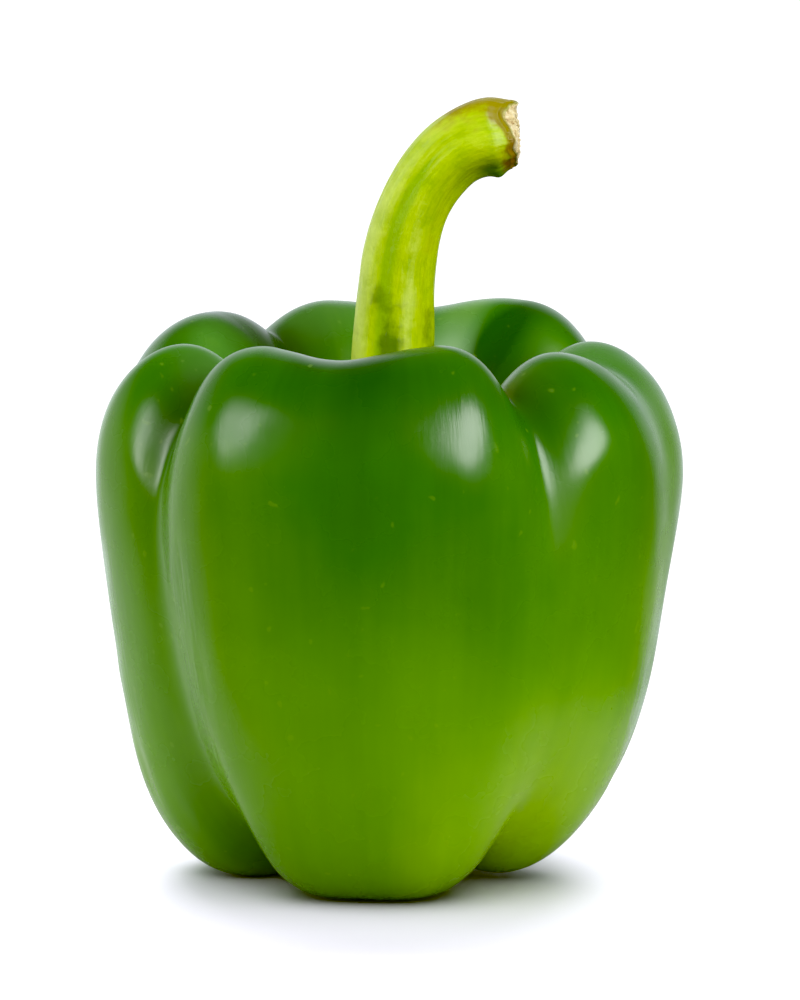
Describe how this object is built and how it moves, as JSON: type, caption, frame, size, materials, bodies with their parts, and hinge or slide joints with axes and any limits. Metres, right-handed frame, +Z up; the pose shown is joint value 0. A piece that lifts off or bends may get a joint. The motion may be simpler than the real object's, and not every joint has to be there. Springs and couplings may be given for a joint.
{
  "type": "bell pepper",
  "caption": "Glossy green bell pepper with rounded lobes, deep folds between them and a bent, ribbed stalk on a calyx.",
  "frame": {"origin": "on the ground under the middle of the pepper's outline in plan", "axes": "+Z up along the pod towards the stalk, -Y towards the front lobe, +X to the right, where the stalk bends"},
  "size_m": [0.084, 0.0844, 0.1125],
  "materials": {
    "skin": "smooth waxy skin, dark green at the shoulders and yellow-green low on the front and right",
    "stalk": "satin yellow-green, ribbed and faintly streaked, brown and corky at the broken end"
  },
  "bodies": {
    "root": {"pod": "skin", "stem": "stalk"}
  },
  "joints": []
}
